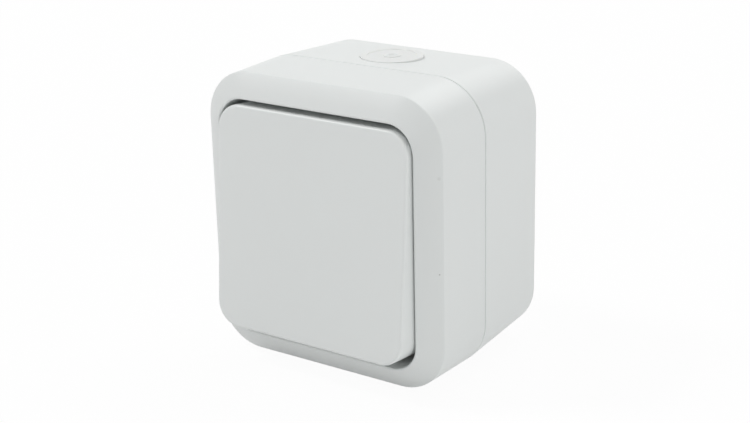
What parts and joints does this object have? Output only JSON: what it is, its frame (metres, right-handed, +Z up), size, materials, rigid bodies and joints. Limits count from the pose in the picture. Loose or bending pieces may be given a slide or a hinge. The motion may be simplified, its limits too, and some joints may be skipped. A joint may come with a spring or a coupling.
{
  "type": "surface mounted light switch",
  "caption": "Sealed surface mounted light switch: square box with a large tilting rocker in a bevelled cover and cable entries above and below.",
  "frame": {"origin": "middle of the back, on the wall plane, at the centre of the fixing slots", "axes": "+Z up, +Y into the wall, so the rocker faces -Y, and +X to the right seen from the front"},
  "size_m": [0.075, 0.0575, 0.0794],
  "materials": {
    "housing_plastic": "moulded, satin, cool white",
    "cover_plastic": "moulded, satin, cool white",
    "rocker_plastic": "moulded, satin, cool white",
    "soft_membrane": "soft thermoplastic, matt, slightly warm white",
    "seal_rubber": "black sealing rubber",
    "frame_plastic": "moulded, light grey",
    "body_plastic": "moulded, mid grey",
    "cradle_plastic": "moulded, off-white",
    "plunger_plastic": "moulded, dark grey",
    "zinc_steel": "zinc plated sheet",
    "screw_steel": "zinc plated",
    "spring_steel": "drawn spring wire",
    "copper_alloy": "stamped strip, bare",
    "brass_clamp": "bent brass, bare",
    "contact_metal": "silver alloy rivet heads"
  },
  "bodies": {
    "housing": {"back_box": "housing_plastic", "box_gasket": "seal_rubber", "front_cover": "cover_plastic", "mechanism_frame": "frame_plastic", "mechanism_body": "body_plastic", "mechanism_seal": "seal_rubber", "mounting_strap": "zinc_steel", "fixed_contacts": "contact_metal", "common_terminal": "copper_alloy", "upper_terminal": "copper_alloy", "lower_terminal": "copper_alloy", "common_terminal_cage": "brass_clamp", "upper_terminal_cage": "brass_clamp", "lower_terminal_cage": "brass_clamp", "terminal_screws": "screw_steel", "strap_screws": "screw_steel", "cover_screws": "screw_steel", "upper_cable_membrane": "soft_membrane", "lower_cable_membrane": "soft_membrane"},
    "rocker_group": {"rocker": "rocker_plastic", "cradle": "cradle_plastic", "plunger": "plunger_plastic", "plunger_spring": "spring_steel"},
    "lever": {"contact_lever": "copper_alloy", "moving_contacts": "contact_metal"}
  },
  "joints": [
    {"name": "rocker_tilt", "type": "hinge", "parent": "housing", "child": "rocker_group", "pos_m": [0, -0.04375, 0], "axis": [1, 0, 0], "range_deg": [0, 9.5]},
    {"name": "lever_swing", "type": "hinge", "parent": "housing", "child": "lever", "pos_m": [0, -0.0295, 0], "axis": [1, 0, 0], "range_deg": [-10.45, 0]}
  ],
  "couplings": [
    {"joint": "lever_swing", "follows": "rocker_tilt", "ratio": -1.1}
  ]
}
